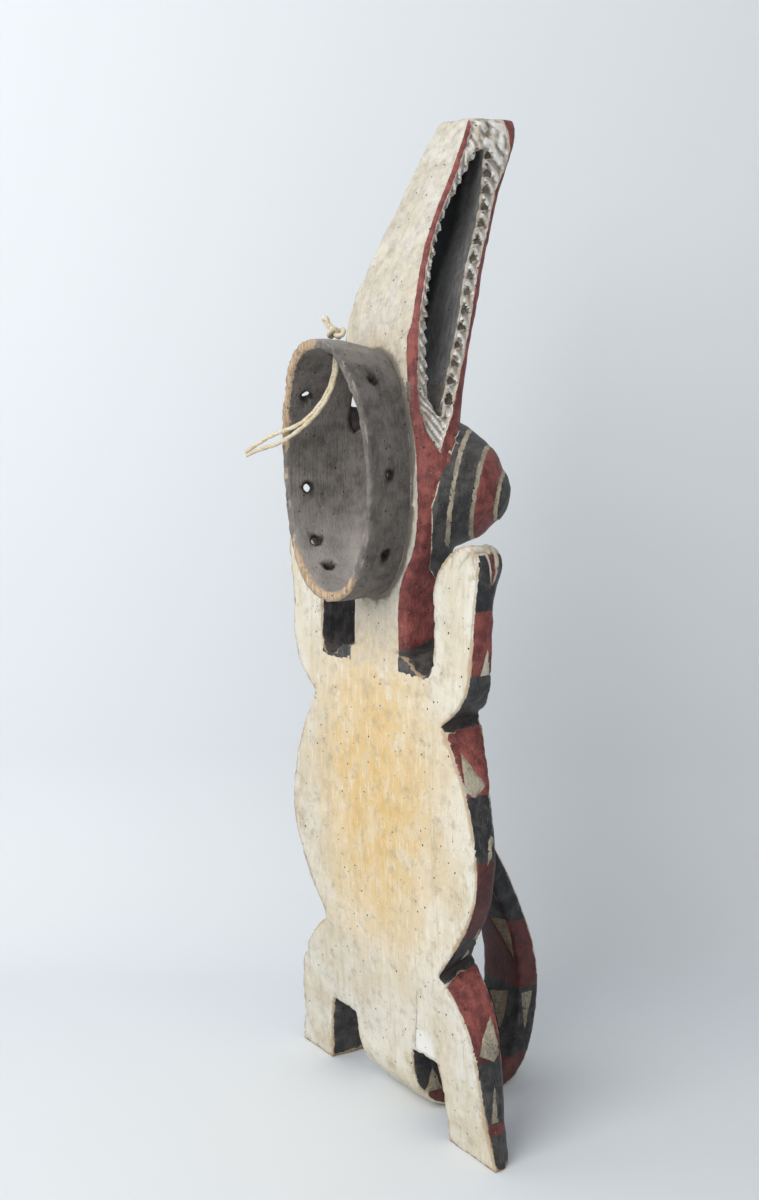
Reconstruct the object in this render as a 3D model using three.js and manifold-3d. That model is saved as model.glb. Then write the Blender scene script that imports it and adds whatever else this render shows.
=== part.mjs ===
// Crocodile mask: a West African face mask carved from one block of wood and painted.
// Millimetres, +Z up. The belly and the face cup look along -Y, X runs across the animal.
// It stands on its two hind soles and on the underside of its looped tail.
import * as THREE from 'three';
import { mergeVertices } from 'three/addons/utils/BufferGeometryUtils.js';
import Module from 'manifold-3d';

const wasm = await Module();
wasm.setup();

// Driving dimensions
const height = 996;             // sole to snout tip
const billetHalf = 176;         // half the width of the split log that the body is cut from
const cupHalf = [82, 126];      // outer half width and half height of the face cup's rim
const cupMiddle = 648;          // height of the cup's middle
const rimDepth = 72;            // how far the rim stands in front of the soles' front edge
const rimLean = 17;             // how much further the rim stands out at its top
const wall = 8;                 // cup wall at the rim
const slotFloor = 466;          // bottom of the slots between arms and neck
const cordDiameter = 4.2;
const touch = 0.3;              // gap left between pieces that touch

// Solids from geometry
function solid(geometry) {
  const bare = geometry.index ? geometry : geometry.clone();
  bare.deleteAttribute('normal');
  bare.deleteAttribute('uv');
  const merged = mergeVertices(bare, 1e-4);
  const mesh = new wasm.Mesh({
    numProp: 3,
    vertProperties: new Float32Array(merged.attributes.position.array),
    triVerts: new Uint32Array(merged.index.array),
  });
  return new wasm.Manifold(mesh);
}

function geometryOf(manifold) {
  const mesh = manifold.getMesh();
  const geometry = new THREE.BufferGeometry();
  geometry.setAttribute('position', new THREE.BufferAttribute(mesh.vertProperties, 3));
  geometry.setIndex(new THREE.BufferAttribute(mesh.triVerts, 1));
  geometry.computeVertexNormals();
  return geometry;
}

// Rows of [station, value, value, ...] as a function of the station, through a cubic
function profile(rows) {
  const slope = (i, k) => {
    const a = rows[Math.max(i - 1, 0)];
    const b = rows[Math.min(i + 1, rows.length - 1)];
    return (b[k] - a[k]) / (b[0] - a[0]);
  };
  return (s) => {
    let i = 0;
    while (i < rows.length - 2 && s > rows[i + 1][0]) i += 1;
    const [low, high] = [rows[i], rows[i + 1]];
    const span = high[0] - low[0];
    const t = THREE.MathUtils.clamp((s - low[0]) / span, 0, 1);
    return low.slice(1).map((value, j) => {
      const k = j + 1;
      const [t2, t3] = [t * t, t * t * t];
      return value * (2 * t3 - 3 * t2 + 1) + high[k] * (3 * t2 - 2 * t3)
        + span * (slope(i, k) * (t3 - 2 * t2 + t) + slope(i + 1, k) * (t3 - t2));
    });
  };
}

const range = (from, to, steps) => (
  Array.from({ length: steps + 1 }, (_, i) => from + ((to - from) * i) / steps)
);

// A rounded ring of half sizes a and b: power 2 is an ellipse, a higher one nears a box
function roundedRing(a, b, power, count) {
  return Array.from({ length: count }, (_, i) => {
    const angle = (2 * Math.PI * i) / count;
    const [c, s] = [Math.cos(angle), Math.sin(angle)];
    return new THREE.Vector2(
      a * Math.sign(c) * Math.abs(c) ** (2 / power),
      b * Math.sign(s) * Math.abs(s) ** (2 / power),
    );
  });
}

// A closed skin over rings of equal count, which turn counterclockwise seen from the last one
function loft(rings) {
  const count = rings[0].length;
  const points = rings.flat();
  const index = [];
  for (let r = 0; r < rings.length - 1; r += 1) {
    for (let i = 0; i < count; i += 1) {
      const a = r * count + i;
      const b = r * count + ((i + 1) % count);
      index.push(a, b, b + count, a, b + count, a + count);
    }
  }
  const ends = [[0, 1], [rings.length - 1, -1]];
  for (const [r, turn] of ends) {
    const middle = new THREE.Vector3();
    rings[r].forEach((p) => middle.addScaledVector(p, 1 / count));
    const hub = points.push(middle) - 1;
    for (let i = 0; i < count; i += 1) {
      const a = r * count + i;
      const b = r * count + ((i + 1) % count);
      index.push(...(turn > 0 ? [hub, b, a] : [hub, a, b]));
    }
  }
  const geometry = new THREE.BufferGeometry().setFromPoints(points);
  geometry.setIndex(index);
  return solid(geometry);
}

// A flat outline in Y and Z, pushed through along X
function acrossX(outline, from, to) {
  const shape = new THREE.Shape(outline.map(([y, z]) => new THREE.Vector2(y, z)));
  const geometry = new THREE.ExtrudeGeometry(shape, { depth: to - from, bevelEnabled: false });
  geometry.applyMatrix4(new THREE.Matrix4().set(
    0, 0, 1, from,
    1, 0, 0, 0,
    0, 1, 0, 0,
    0, 0, 0, 1,
  ));
  return solid(geometry);
}

// The split log: flat in front, a half ellipse behind. Rows: height, front, depth, half width
const billet = profile([
  [-6, 0, 66, 185], [12, -1, 64, 185], [30, -3, 62, 182], [60, -6, 72, 178], [85, -8, 76, billetHalf],
  [126, -10, 68, billetHalf], [175, -13, 54, billetHalf], [205, -14, 44, billetHalf],
  [228, -14, 46, billetHalf], [252, -15, 58, billetHalf], [285, -16, 71, billetHalf],
  [340, -17, 63, billetHalf], [390, -18, 58, billetHalf], [440, -18, 60, billetHalf],
  [500, -18, 62, billetHalf], [538, -18, 66, billetHalf], [554, -18, 82, billetHalf],
  [568, -18, 86, billetHalf], [578, -18, 76, billetHalf], [588, -18, 46, billetHalf],
  [600, -18, 20, billetHalf],
]);
const billetLevels = [...range(-6, 534, 22), 546, 558, 568, 577, 584, 600];

function billetSolid() {
  const around = 20;
  return loft(billetLevels.map((z) => {
    const [front, depth, half] = billet(z);
    return Array.from({ length: around + 1 }, (_, i) => {
      const angle = (Math.PI * i) / around;
      return new THREE.Vector3(half * Math.cos(angle), front + depth * Math.sin(angle), z);
    });
  }));
}

// Right half of the animal seen from the belly, as smooth stretches between corners
const bodyStretches = [
  [[0, slotFloor], [50, slotFloor + 6], [62, slotFloor + 2], [76, slotFloor - 7], [90, slotFloor - 9],
    [97, slotFloor - 3], [103, slotFloor + 8]],
  [[103, slotFloor + 8], [102, 505], [103, 540], [112, 560], [129, 576], [152, 585], [166, 580], [171, 565],
    [167, 538], [163, 507], [161, 475], [154, 447], [138, 428], [115, 413]],
  [[128, 396], [141, 375], [154, 350], [164, 318], [169, 285], [166, 257], [156, 236],
    [144, 214], [128, 194], [104, 165]],
  [[121, 155], [139, 139], [153, 118], [162, 95], [168, 65], [171, 42], [176, 20], [183, 0]],
  [[109, 0], [106, 22], [103, 45], [101, 62], [97, 76]],
  [[53, 74], [50, 66]],
  [[46, 60], [0, 60]],
];

// How far the outline climbs for each unit of depth, so that the notches slant up the sides
const outlineLean = profile([[0, 0], [100, 0.12], [165, 0.36], [230, 0.2], [320, 0.05], [413, 0.2],
  [500, 0.03], [600, 0]]);

// The far hind leg came out a little slimmer towards its sole than the near one
const farLegSlim = 0.13;
const legMiddle = 146;

function bodyOutline() {
  const half = bodyStretches.flatMap((stretch) => (
    stretch.length < 3
      ? stretch.map(([x, z]) => new THREE.Vector2(x, z))
      : new THREE.SplineCurve(stretch.map(([x, z]) => new THREE.Vector2(x, z)))
        .getPoints(Math.round((stretch.length - 1) * 1.5))
  ));
  const right = half.filter((p) => p.x > 0);
  const left = right.map((p) => {
    const slim = p.x > legMiddle / 2 ? farLegSlim * (1 - THREE.MathUtils.smoothstep(p.y, 0, 90)) : 0;
    return new THREE.Vector2(-THREE.MathUtils.lerp(p.x, legMiddle, slim), p.y);
  });
  return [...right, ...left.reverse()];
}

function bodySolid() {
  const shape = new THREE.Shape(bodyOutline());
  const [front, back] = [-25, 100];   // the slab reaches past the log on both sides
  const slab = new THREE.ExtrudeGeometry(shape, { depth: back - front, bevelEnabled: false });
  slab.rotateX(Math.PI / 2);
  slab.translate(0, back, 0);
  const place = slab.attributes.position;
  for (let i = 0; i < place.count; i += 1) {
    const z = place.getZ(i);
    place.setZ(i, z + outlineLean(z)[0] * (place.getY(i) - billet(z)[0]));
  }
  return solid(slab).intersect(billetSolid());
}

// Neck, head and snout. Rows: height, half width, front, back, roundness in front and behind
const headRows = [
  [430, 50, -14, 40, 5, 4], [480, 50, -18, 44, 5, 4], [520, 50, -18, 48, 5, 4], [545, 56, -18, 50, 5, 3],
  [575, 73, -19, 50, 4.5, 2.2], [608, 82, -20, 50, 4.5, 2], [645, 83, -20, 50, 4.5, 2],
  [680, 79, -20, 50, 5, 2.3], [705, 71, -19, 52, 6, 3.4], [735, 66, -18, 54, 8, 5], [775, 65, -17, 60, 9, 6],
  [800, 65, -13, 67, 9, 6], [830, 59, -4, 77, 9, 6], [860, 51, 8, 88, 9, 6], [890, 46, 22, 98, 9, 6],
  [920, 43, 38, 108, 9, 6], [950, 40, 53, 120, 8, 6], [972, 38.5, 63, 129, 7, 6], [985, 37, 68, 132, 7, 6],
  [992, 35, 71.5, 132, 6, 6], [height, 32, 74, 131, 5, 5],
];

// The tip's cut is highest at its far and back edges and drops to the chin's near corner
const tipDrop = 6;
const tipDropWidth = 66;
const tipDropBack = 0.8;          // how much a millimetre back counts against one across
const tipFrom = 960;              // where the drop sets in

function headSolid() {
  const shape = profile(headRows);
  const stations = [...range(430, 960, 22), 971, 982, 991, height];
  return loft(stations.map((z) => {
    const [half, front, back, sharp, soft] = shape(z);
    const depth = (back - front) / 2;
    const [fore, aft] = [sharp, soft].map((power) => roundedRing(half, depth, power, 22));
    const cut = tipDrop * THREE.MathUtils.smoothstep(z, tipFrom, height);
    return fore.map((p, i) => {
      const q = p.y < 0 ? p : aft[i];
      const fromCorner = half - q.x + tipDropBack * (depth + q.y);
      const drop = cut * (1 - THREE.MathUtils.smoothstep(fromCorner, 0, tipDropWidth));
      return new THREE.Vector3(q.x, front + depth + q.y, z - drop);
    });
  }));
}

// The open mouth, a slot right through the snout. Rows: height, chin side, forehead side
const mouthRows = [
  [702, 13, 15], [716, 6, 20], [735, 3, 25], [763, 1, 33], [790, 1.5, 39], [811, 4.5, 44],
  [842, 13.5, 55], [869, 25, 67], [896, 38, 77], [920, 53, 82], [943, 68, 86], [961, 84, 88],
];

function mouthSolid() {
  const gap = profile(mouthRows);
  const stations = range(mouthRows[0][0], mouthRows.at(-1)[0], 18);
  const chin = stations.map((z) => [gap(z)[0], z]);
  const brow = stations.map((z) => [gap(z)[1], z]).reverse();
  return acrossX([...chin, ...brow], -110, 110);
}

// Teeth: leaning notches cut into both side faces of each jaw beside the mouth. The lower jaw's
// teeth are narrow and hang towards the mouth, the upper jaw's are wide and hang away from it
const jaws = [
  { pitch: 12, depth: -5.5, apex: 9.5 },    // apex: how far the notch's inner end is above its foot
  { pitch: 16.5, depth: 10, apex: 2 },
];
const notchShare = 0.62;          // of the pitch, along the mouth's edge
const toothCut = 5;               // in from the jaw's side face
const teethEnds = [714, 951];

function teethSolid() {
  const gap = profile(mouthRows);
  const head = profile(headRows);
  const [low, high] = teethEnds;
  const cuts = jaws.flatMap(({ pitch, depth, apex }, jaw) => (
    range(0, high - low, Math.round((high - low) / pitch)).flatMap((rise) => {
      const [foot, top] = [low + rise, low + rise + notchShare * pitch];
      const notch = [
        [gap(foot)[jaw] - depth * 0.1, foot],
        [gap(top)[jaw] - depth * 0.1, top],
        [gap(foot + apex)[jaw] + depth, foot + apex],
      ];
      const outline = jaw ? notch.reverse() : notch;
      const half = head(foot)[0];
      return [
        acrossX(outline, half - toothCut, half + 12),
        acrossX(outline, -half - 12, -half + toothCut),
      ];
    })
  ));
  return wasm.Manifold.union(cuts);
}

// Bulging eyes: domes with cut rings, one on each side of the crown, that look a little down
const eyeReach = 52.5;
const eyeAngle = 45;              // from straight back towards the side
const eyeDroop = 9;
const eyePlace = [47, 50, 631];   // where the near eye's axis starts
const eyeDome = [[66, -30], [67, -18], [64, -7], [54, 13], [39, 33], [13, 50]];   // radius and height
const eyeRings = [[60, 4], [47.5, 23.5], [25, 42.5]];   // the cut rings in the dome
const ringCut = 1.8;

function eyeSolid(side) {
  const grooves = eyeRings.flatMap(([radius, rise]) => [
    [radius + ringCut / 2, rise - ringCut], [radius - ringCut, rise - ringCut / 3],
    [radius - ringCut / 2, rise + ringCut],
  ]);
  const outline = [[0, eyeDome[0][1]], ...[...eyeDome, ...grooves].sort((p, q) => p[1] - q[1]), [0, eyeReach]];
  const geometry = new THREE.LatheGeometry(outline.map(([x, y]) => new THREE.Vector2(x, y)), 22);
  geometry.rotateX(-THREE.MathUtils.degToRad(eyeDroop));
  geometry.rotateZ(-side * THREE.MathUtils.degToRad(eyeAngle));
  geometry.translate(side * eyePlace[0], eyePlace[1], eyePlace[2]);
  return solid(geometry);
}

// The face cup: an oval wall that the wearer's face fits, open to the front
const cupBack = -8;
function ovalAt([y, half, rise, middle, lean]) {
  return roundedRing(half, rise, 2.2, 28).map((p) => (
    new THREE.Vector3(p.x, y - lean * ((1 + p.y / rise) / 2) ** 3, middle + p.y)
  ));
}

// Rows: Y, half width, half height, middle's height, lean
function cupSolid() {
  const rows = [
    [cupBack, 62, 116, 646, 0], [-20, 68, 121, 646, 3], [-45, 75, 125, cupMiddle, rimLean / 2],
    [-rimDepth, ...cupHalf, cupMiddle, rimLean],
  ];
  return loft(rows.map(ovalAt));
}

function cavitySolid() {
  const [half, rise] = [cupHalf[0] - wall, cupHalf[1] - wall - 1];
  const rows = [
    [8, 40, 60, 664, 0], [-4, 50, 88, 656, 0], [-12, 57, 98, 652, 0],
    [-25, 61, 107, 649, 3], [-50, 68, 114, cupMiddle, rimLean / 2],
    [-rimDepth, half, rise, cupMiddle, rimLean], [-rimDepth - 8, half + 2, rise + 2, cupMiddle, rimLean],
  ];
  return loft(rows.map(ovalAt));
}

// The way from the cup's back into the mouth's corner, for the wearer to look out through, and
// the far cheek beside it, where the cut comes out. Outlines in Y and Z
const lookOut = [[-14, 730], [-14, 700], [-8, 684], [4, 690], [14, 705], [24, 730]];
const cheekGap = [[-13, 713], [8, 711], [10, 730], [-13, 730]];
const lookOutSides = [-58, 45];

function lookOutSolid() {
  const [far, near] = lookOutSides;
  const turned = (outline) => outline.slice().reverse();
  return acrossX(turned(lookOut), far, near).add(acrossX(turned(cheekGap), -90, far + 1));
}

// Lacing holes round the cup, each by its angle from +X and its depth, and the cord's hole
const laceHoles = [[44, -56], [-1, -48], [-40, -44], [140, -61], [189, -53], [218, -50], [237, -46]];
const laceRadius = 4.6;
const cordHole = { x: -9, y: -55, radius: 5.4 };

function hole(radius, from, to) {
  const [a, b] = [new THREE.Vector3(...from), new THREE.Vector3(...to)];
  const geometry = new THREE.CylinderGeometry(radius, radius, a.distanceTo(b), 12);
  geometry.rotateX(Math.PI / 2);
  geometry.lookAt(b.clone().sub(a));
  geometry.translate(...a.add(b).multiplyScalar(0.5).toArray());
  return solid(geometry);
}

function laceSolid() {
  const cuts = laceHoles.map(([degrees, depth]) => {
    const angle = THREE.MathUtils.degToRad(degrees);
    const at = (scale) => [
      cupHalf[0] * scale * Math.cos(angle), depth, cupMiddle + cupHalf[1] * scale * Math.sin(angle),
    ];
    return hole(laceRadius, at(0.7), at(1.25));
  });
  const { x, y, radius } = cordHole;
  cuts.push(hole(radius, [x, y, cupMiddle + 90], [x, y, cupMiddle + 150]));
  return wasm.Manifold.union(cuts);
}

// The tail curls back along the ground, rises behind the body and meets the back again.
// Rows: Y and Z of its middle line, half width, half thickness, power of the rounding
const tailRows = [
  [8, 132, 60, 20, 6], [8, 98, 55, 20, 7], [10, 62, 54, 21, 8], [24, 30.5, 55, 20, 8],
  [48, 14.5, 54, 18, 8], [85, 12.5, 51, 15, 8], [114, 13, 48, 14.5, 8], [134, 19, 43, 14, 8],
  [148, 38, 36, 14, 8], [157.5, 68, 34, 14.5, 8], [159, 98, 33, 14.8, 8], [156.5, 128, 32, 13.5, 8],
  [148.5, 158, 31, 13.5, 8], [136.5, 190, 30, 13.2, 8], [121, 224, 28, 12.8, 7], [104, 258, 25, 12.5, 6],
  [87.5, 292, 21, 11.7, 5], [70, 326, 17, 11, 4], [51, 358, 13, 10, 3], [34, 384, 10, 9, 2.5],
];

// Everything behind the flat of the belly, which the tail's root is planed down to
function behindBelly() {
  const front = billetLevels.map((z) => [billet(z)[0], z]);
  const [low, high] = [front[0][1], front.at(-1)[1]];
  return acrossX([...front, [230, high], [230, low]].reverse(), -billetHalf, billetHalf);
}

function tailSolid() {
  const middle = new THREE.CatmullRomCurve3(tailRows.map(([y, z]) => new THREE.Vector3(0, y, z)));
  const sizes = profile(tailRows.map((row, i) => [i / (tailRows.length - 1), ...row.slice(2)]));
  const across = new THREE.Vector3(1, 0, 0);
  return loft(range(0, 1, 28).map((t) => {
    const centre = middle.getPoint(t);
    const outward = middle.getTangent(t).cross(across).normalize();
    const [half, thick, power] = sizes(t);
    return roundedRing(half, thick, power, 16).map((p) => (
      centre.clone().addScaledVector(across, -p.x).addScaledVector(outward, -p.y)
    ));
  })).intersect(behindBelly());
}

function floorCut() {
  const box = new THREE.BoxGeometry(600, 600, 60);
  box.translate(0, 60, -30);
  return solid(box);
}

function woodSolid() {
  const head = headSolid()
    .add(eyeSolid(1)).add(eyeSolid(-1))
    .subtract(mouthSolid())
    .subtract(teethSolid());
  return bodySolid()
    .add(tailSolid())
    .add(head)
    .add(cupSolid())
    .subtract(cavitySolid())
    .subtract(lookOutSolid())
    .subtract(laceSolid())
    .subtract(floorCut());
}

// The bite cord: one cord doubled, its fold knotted above the hole and two tails inside
const cordPoints = [
  [-9, -55, 773.6], [-9, -55, 766], [-9.1, -55, 759], [-9.4, -55.2, 751], [-10.3, -55.8, 743],
  [-12.3, -57, 734.5], [-15.6, -59, 725.6], [-20.5, -61.8, 716.6], [-27.5, -65.4, 707.6],
  [-36, -69.8, 699], [-46, -74.8, 691.6], [-56.5, -80, 686], [-67, -84.8, 681.6], [-78, -89.4, 677.8],
  [-89, -93.8, 673.8], [-100, -98, 669.2], [-110, -101.8, 664],
];

// One strand of the pair: side 1 runs on the outside of the bend and side -1 on the inside
function strandPoints(side) {
  const path = new THREE.CatmullRomCurve3(cordPoints.map((p) => new THREE.Vector3(...p)));
  const last = cordPoints.length - 1;
  const facing = new THREE.Vector3(0, 1, 0);
  return cordPoints.map((_, i) => {
    const t = i / last;
    const opening = 2.9 * Math.sin(Math.PI * THREE.MathUtils.smoothstep(t, 0.5, 1));
    const apart = cordDiameter / 2 + touch / 2 + opening;
    const across = path.getTangent(t).cross(facing).normalize();
    return path.getPoint(t).addScaledVector(across, -side * apart);
  });
}

function cordSolid(side) {
  const path = new THREE.CatmullRomCurve3(strandPoints(side));
  const section = new THREE.Shape(roundedRing(cordDiameter / 2, cordDiameter / 2, 2, 8));
  return solid(new THREE.ExtrudeGeometry(section, { steps: 20, extrudePath: path, bevelEnabled: false }));
}

// The knot: a fat turned lump over the hole with the cord's fold standing up from it
function knotSolid() {
  const [x, y] = [cordHole.x, cordHole.y];
  const rest = cupMiddle + cupHalf[1] * Math.sqrt(1 - (x / cupHalf[0]) ** 2) + 2 * touch;
  const lump = new THREE.SphereGeometry(1, 12, 8);
  lump.scale(9, 7, 6);
  lump.translate(x, y, rest + 6);
  const fold = new THREE.SphereGeometry(1, 10, 6);
  fold.scale(4, 4.2, 7);
  fold.rotateY(-0.5);
  fold.translate(x - 9, y - 4, rest + 12);
  return solid(lump).add(solid(fold));
}

const wood = woodSolid();
const knot = knotSolid();
const finishes = {
  wood: new THREE.MeshStandardMaterial({ color: 0xd9cba0, roughness: 0.85, metalness: 0 }),
  cord: new THREE.MeshStandardMaterial({ color: 0xcdbf94, roughness: 0.95, metalness: 0 }),
};

const pieces = [
  ['carved_mask', wood, finishes.wood],
  ['cord_knot', knot, finishes.cord],
  ['cord_tail_upper', cordSolid(1), finishes.cord],
  ['cord_tail_lower', cordSolid(-1), finishes.cord],
];

// The row's origin is under the middle of the wood's own box
const box = geometryOf(wood);
box.computeBoundingBox();
const middle = box.boundingBox.getCenter(new THREE.Vector3());

const mask = new THREE.Group();
mask.position.set(-middle.x, -middle.y, 0);
for (const [name, manifold, material] of pieces) {
  const mesh = new THREE.Mesh(geometryOf(manifold), material);
  mesh.name = name;
  mask.add(mesh);
}
export default mask;
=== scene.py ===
import bmesh
import bpy
import numpy as np
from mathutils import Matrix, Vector


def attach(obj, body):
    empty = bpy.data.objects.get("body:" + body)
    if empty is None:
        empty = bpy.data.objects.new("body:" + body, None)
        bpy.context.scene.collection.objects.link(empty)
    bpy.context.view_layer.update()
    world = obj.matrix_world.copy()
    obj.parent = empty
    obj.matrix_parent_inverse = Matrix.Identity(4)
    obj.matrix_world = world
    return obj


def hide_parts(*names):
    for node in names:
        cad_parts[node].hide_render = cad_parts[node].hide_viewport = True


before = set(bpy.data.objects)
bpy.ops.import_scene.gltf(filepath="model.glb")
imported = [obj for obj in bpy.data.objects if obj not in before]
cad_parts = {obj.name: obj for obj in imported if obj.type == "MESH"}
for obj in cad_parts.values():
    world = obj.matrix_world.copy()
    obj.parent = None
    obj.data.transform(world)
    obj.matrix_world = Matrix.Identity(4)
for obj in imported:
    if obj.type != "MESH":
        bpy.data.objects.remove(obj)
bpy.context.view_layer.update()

scene = bpy.context.scene
scene.view_settings.view_transform = "Standard"

# Camera: before the near side of the mask, level with the face cup, looking a little down
camera_turn = np.radians(57.27)      # round from straight in front of the belly
camera_pitch = np.radians(6.32)
camera_place = (1.1609, -0.8013, 0.6737)
camera_data = bpy.data.cameras.new("camera")
camera_data.sensor_fit = "VERTICAL"
camera_data.sensor_height = 36
camera_data.lens = 42
camera = bpy.data.objects.new("camera", camera_data)
ahead = Vector((-np.sin(camera_turn) * np.cos(camera_pitch),
                np.cos(camera_turn) * np.cos(camera_pitch), -np.sin(camera_pitch)))
camera.location = camera_place
camera.rotation_euler = ahead.to_track_quat("-Z", "Y").to_euler()
scene.collection.objects.link(camera)
scene.camera = camera

# The bite cord: one length of twisted cream plant fibre, doubled. Its fold is knotted on top of
# the cup, both halves go down the cup's top hole and their cut ends hang out over the far rim.
# Lengths are the carver's millimetres: X from the block's middle, Y from the soles' front edge.
carver_zero = np.array([-2.405, -42.367, 0.0])
cord_radius = 2.1
cord_twist = 15.0                    # over this length the two plies change places
cord_points = np.array([
    [-9, -55, 773.6], [-9, -55, 766], [-9.1, -55, 759], [-9.4, -55.2, 751], [-10.3, -55.8, 743],
    [-12.3, -57, 734.5], [-15.6, -59, 725.6], [-20.5, -61.8, 716.6], [-27.5, -65.4, 707.6],
    [-36, -69.8, 699], [-46, -74.8, 691.6], [-56.5, -80, 686], [-67, -84.8, 681.6],
    [-78, -89.4, 677.8], [-89, -93.8, 673.8], [-100, -98, 669.2], [-110, -101.8, 664],
])
cord_apart = (2.25, 2.9)             # half the gap between the strands, and what it grows by


def metres(points):
    """The carver's millimetres as metres in the frame."""
    return (np.asarray(points) + carver_zero) / 1000


def smooth_path(points, spacing):
    """A cubic through given points: Catmull-Rom pieces, then even steps along their length."""
    points = np.asarray(points, float)
    padded = np.vstack([2 * points[0] - points[1], points, 2 * points[-1] - points[-2]])
    t = np.linspace(0, 1, 24, endpoint=False)[:, None, None]
    p0, p1, p2, p3 = (padded[k:len(padded) - 3 + k] for k in range(4))
    pieces = 0.5 * (2 * p1 + (p2 - p0) * t + (2 * p0 - 5 * p1 + 4 * p2 - p3) * t ** 2
                    + (3 * p1 - p0 - 3 * p2 + p3) * t ** 3)
    dense = np.vstack([pieces.transpose(1, 0, 2).reshape(-1, 3), points[-1]])
    run = np.concatenate([[0], np.cumsum(np.linalg.norm(np.diff(dense, axis=0), axis=1))])
    even = np.linspace(0, run[-1], max(int(run[-1] / spacing), 4) + 1)
    return np.stack([np.interp(even, run, dense[:, k]) for k in range(3)], axis=1)


def strand_mesh(name, path, radius, phase, taper=0.0, sides=18):
    """A two-ply strand: a round section with two turning grooves, carried along the path.

    The section's radius at angle a and length s is radius * (1.08 - 0.2 * |sin(a - turn * s)|^5).
    It thins by the taper over its last 15 % and closes over the last millimetre at both ends.
    """
    run = np.concatenate([[0], np.cumsum(np.linalg.norm(np.diff(path, axis=0), axis=1))])
    tangent = np.gradient(path, axis=0)
    tangent /= np.linalg.norm(tangent, axis=1, keepdims=True)
    first = np.cross(tangent, (0.1, 1.0, 0.05))
    first /= np.linalg.norm(first, axis=1, keepdims=True)
    second = np.cross(tangent, first)
    angle = np.linspace(0, 2 * np.pi, sides, endpoint=False)
    turn = np.pi / cord_twist * run[:, None] + phase
    grooves = 1.08 - 0.2 * np.abs(np.sin(angle - turn)) ** 5
    from_end = np.minimum(run, run[-1] - run)[:, None]
    closing = np.sqrt(np.clip(from_end, 0.002, 1))
    thinning = 1 - taper * np.clip((run[:, None] / run[-1] - 0.85) / 0.15, 0, 1)
    reach = radius * grooves * closing * thinning
    ring = (path[:, None] + (reach * np.cos(angle))[..., None] * first[:, None]
            + (reach * np.sin(angle))[..., None] * second[:, None])
    rows = len(path)
    corner = np.arange(rows * sides).reshape(rows, sides)
    after = np.roll(corner, -1, axis=1)
    quads = np.stack([corner[:-1], after[:-1], after[1:], corner[1:]], axis=-1).reshape(-1, 4)
    mesh = bpy.data.meshes.new(name)
    ends = [corner[0][::-1].tolist(), corner[-1].tolist()]
    mesh.from_pydata(metres(ring.reshape(-1, 3)), [], quads.tolist() + ends)
    mesh.update()
    around = np.tile(np.arange(sides) / sides, rows)
    along = np.repeat(run / 100, sides)
    layer = mesh.uv_layers.new(name="UVMap")
    loops = np.zeros(len(mesh.loops), dtype=int)
    mesh.loops.foreach_get("vertex_index", loops)
    layer.data.foreach_set("uv", np.stack([around[loops], along[loops]], axis=1).ravel())
    mesh.shade_smooth()
    return mesh


def add_piece(name, mesh, material):
    """An object at the origin that carries the mesh and its material."""
    piece = bpy.data.objects.new(name, mesh)
    scene.collection.objects.link(piece)
    mesh.materials.clear()
    mesh.materials.append(material)
    return piece


def node(tree, kind, inputs=None, **settings):
    """One shader node. Each input is a value or another node's output."""
    made = tree.nodes.new(kind)
    for name, value in settings.items():
        setattr(made, name, value)
    for name, value in (inputs or {}).items():
        if isinstance(value, bpy.types.NodeSocket):
            tree.links.new(value, made.inputs[name])
        else:
            made.inputs[name].default_value = value
    return made


def mixed(tree, share, below, above):
    """Colour below, covered by colour above where share is 1."""
    made = node(tree, "ShaderNodeMix", {0: share, 6: below, 7: above}, data_type="RGBA")
    return made.outputs[2]


def stepped(tree, value, low, high, start=0.0, end=1.0):
    """A soft step from start to end as the value goes from low to high."""
    made = node(tree, "ShaderNodeMapRange", {"Value": value, "From Min": low, "From Max": high,
                "To Min": start, "To Max": end}, interpolation_type="SMOOTHSTEP")
    return made.outputs["Result"]


def cloud(tree, place, length, detail=3.0, rough=0.55):
    """Noise from 0 to 1 whose largest patches are about length millimetres."""
    made = node(tree, "ShaderNodeTexNoise", {"Vector": place, "Scale": 1000 / length,
                "Detail": detail, "Roughness": rough})
    return made.outputs["Fac"]


def stretched(tree, place, scale, turn=(0, 0, 0)):
    """Coordinates with each axis scaled, so that a pattern runs long where the scale is small."""
    made = node(tree, "ShaderNodeMapping", {"Vector": place, "Scale": scale, "Rotation": turn})
    return made.outputs["Vector"]


def new_material(name):
    """An empty material: its node tree and its Principled shader."""
    material = bpy.data.materials.new(name)
    material.use_nodes = True
    return material, material.node_tree, material.node_tree.nodes["Principled BSDF"]


def fibre_material():
    """Cream sisal: pale and straw strands that follow the twist, with darker gaps."""
    material, tree, shader = new_material("cord_fibre")
    texture = node(tree, "ShaderNodeTexCoord")
    along = stretched(tree, texture.outputs["UV"], (9.0, 22.0, 1.0), (0, 0, 0.5))
    streaks = node(tree, "ShaderNodeTexNoise", {"Vector": along, "Scale": 2.2, "Detail": 5.0})
    streaks = streaks.outputs["Fac"]
    blotch = cloud(tree, texture.outputs["Object"], 14, 2.0)
    straw = mixed(tree, stepped(tree, blotch, 0.4, 0.65), (0.82, 0.75, 0.6, 1), (0.7, 0.6, 0.42, 1))
    colour = mixed(tree, stepped(tree, streaks, 0.36, 0.62, 0.7, 0.0), straw, (0.42, 0.32, 0.2, 1))
    tree.links.new(colour, shader.inputs["Base Color"])
    bump = node(tree, "ShaderNodeBump", {"Height": streaks, "Strength": 0.7, "Distance": 0.0006})
    tree.links.new(bump.outputs["Normal"], shader.inputs["Normal"])
    shader.inputs["Roughness"].default_value = 0.82
    return material


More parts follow.
